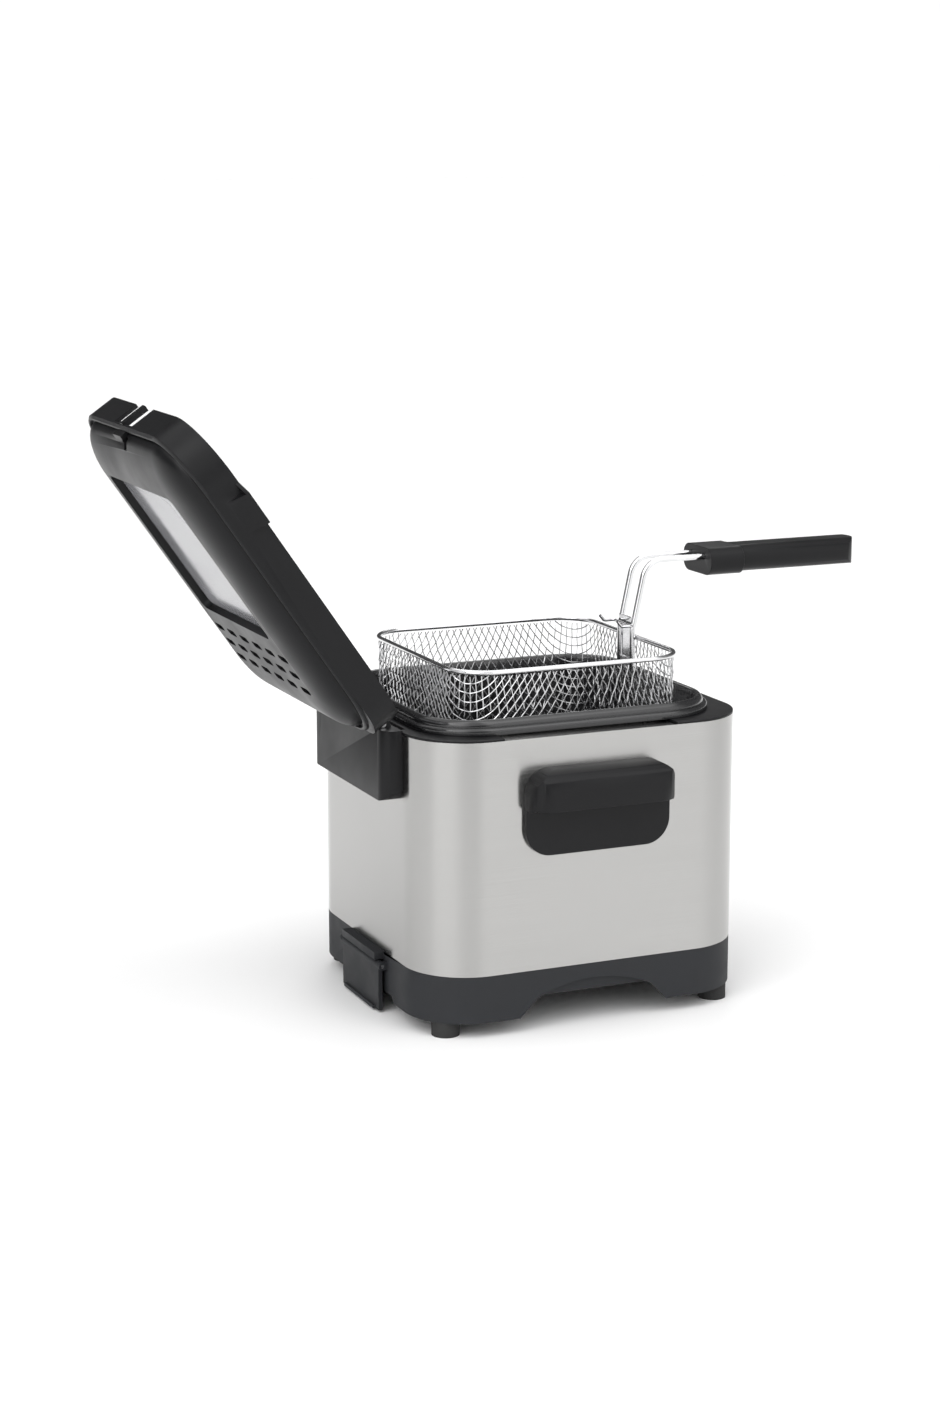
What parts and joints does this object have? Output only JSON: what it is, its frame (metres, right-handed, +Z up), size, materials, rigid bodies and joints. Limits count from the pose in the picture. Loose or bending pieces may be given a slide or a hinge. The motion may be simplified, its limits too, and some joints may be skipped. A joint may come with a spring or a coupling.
{
  "type": "deep fryer",
  "caption": "Compact electric deep fryer: brushed steel body on a plastic base, lift-out pot, wire basket with a long handle, hinged lid with a window and vents.",
  "frame": {"origin": "on the table, under the centre of the body", "axes": "+Z up; the control end with the basket handle faces -Y and the hinge end faces +Y; +X is to the right when facing the control end from behind it"},
  "size_m": [0.251, 0.5182, 0.395],
  "materials": {
    "brushed_steel": "horizontally brushed",
    "base_plastic": "fine matte",
    "black_plastic": "satin",
    "plated_steel": "zinc plated sheet",
    "rubber": "matte",
    "screws": "plated",
    "nonstick": "glossy non-stick coating",
    "heater": "dull oxidised tube",
    "aluminium": "satin",
    "ceramic": "moulded insulator",
    "brass": "turned",
    "red_lens": "clear tinted",
    "green_lens": "clear tinted",
    "chrome": "polished",
    "wire_mesh": "woven tinned wire",
    "window_glass": "tempered, grey from steam",
    "filter_felt": "felt pad"
  },
  "bodies": {
    "housing": {"steel_shell": "brushed_steel", "base": "base_plastic", "bottom_plate": "base_plastic", "front_left_foot": "rubber", "front_right_foot": "rubber", "rear_left_foot": "rubber", "rear_right_foot": "rubber", "foot_screws": "screws", "front_cap": "black_plastic", "rear_cap": "black_plastic", "pot": "nonstick", "heating_element": "heater", "element_clamp": "plated_steel", "clamp_stud": "screws", "heat_shield": "aluminium", "thermostat": "ceramic", "thermal_cutout": "ceramic", "terminal_block": "ceramic", "control_panel": "black_plastic", "power_lens": "red_lens", "ready_lens": "green_lens", "hinge_bracket": "black_plastic", "left_hinge_pin": "chrome", "right_hinge_pin": "chrome", "bracket_screws": "screws", "left_carry_handle": "black_plastic", "right_carry_handle": "black_plastic", "handle_screws": "screws", "cord_box": "base_plastic", "cord_gland": "rubber", "flap_pin": "chrome"},
    "lid": {"lid_shell": "black_plastic", "lid_liner": "aluminium", "lid_window": "window_glass", "window_gasket": "rubber", "steam_filter": "filter_felt", "filter_cover": "aluminium", "liner_screws": "screws"},
    "basket": {"basket_rim": "chrome", "basket_mesh": "wire_mesh", "left_handle_rod": "chrome", "right_handle_rod": "chrome", "handle_grip": "black_plastic", "handle_socket": "chrome", "drain_hook": "chrome"},
    "knob": {"knob": "black_plastic", "control_shaft": "brass"},
    "flap": {"cord_flap": "base_plastic"}
  },
  "joints": [
    {"name": "lid_hinge", "type": "hinge", "parent": "housing", "child": "lid", "pos_m": [0, 0.122, 0.1955], "axis": [1, 0, 0], "range_deg": [0, 124.7]},
    {"name": "basket_lift", "type": "slide", "parent": "housing", "child": "basket", "axis": [0, 0, 1], "range_m": [-0.0764, 0]},
    {"name": "knob_turn", "type": "hinge", "parent": "housing", "child": "knob", "pos_m": [0, -0.1298, 0.1045], "axis": [0, -1, 0], "range_deg": [-270, 0]},
    {"name": "flap_hinge", "type": "hinge", "parent": "housing", "child": "flap", "pos_m": [0, 0.1173, 0.032], "axis": [1, 0, 0], "range_deg": [0, 80]}
  ],
  "couplings": [
    {"joint": "basket_lift", "follows": "lid_hinge", "m_per_rad": -0.035057}
  ]
}
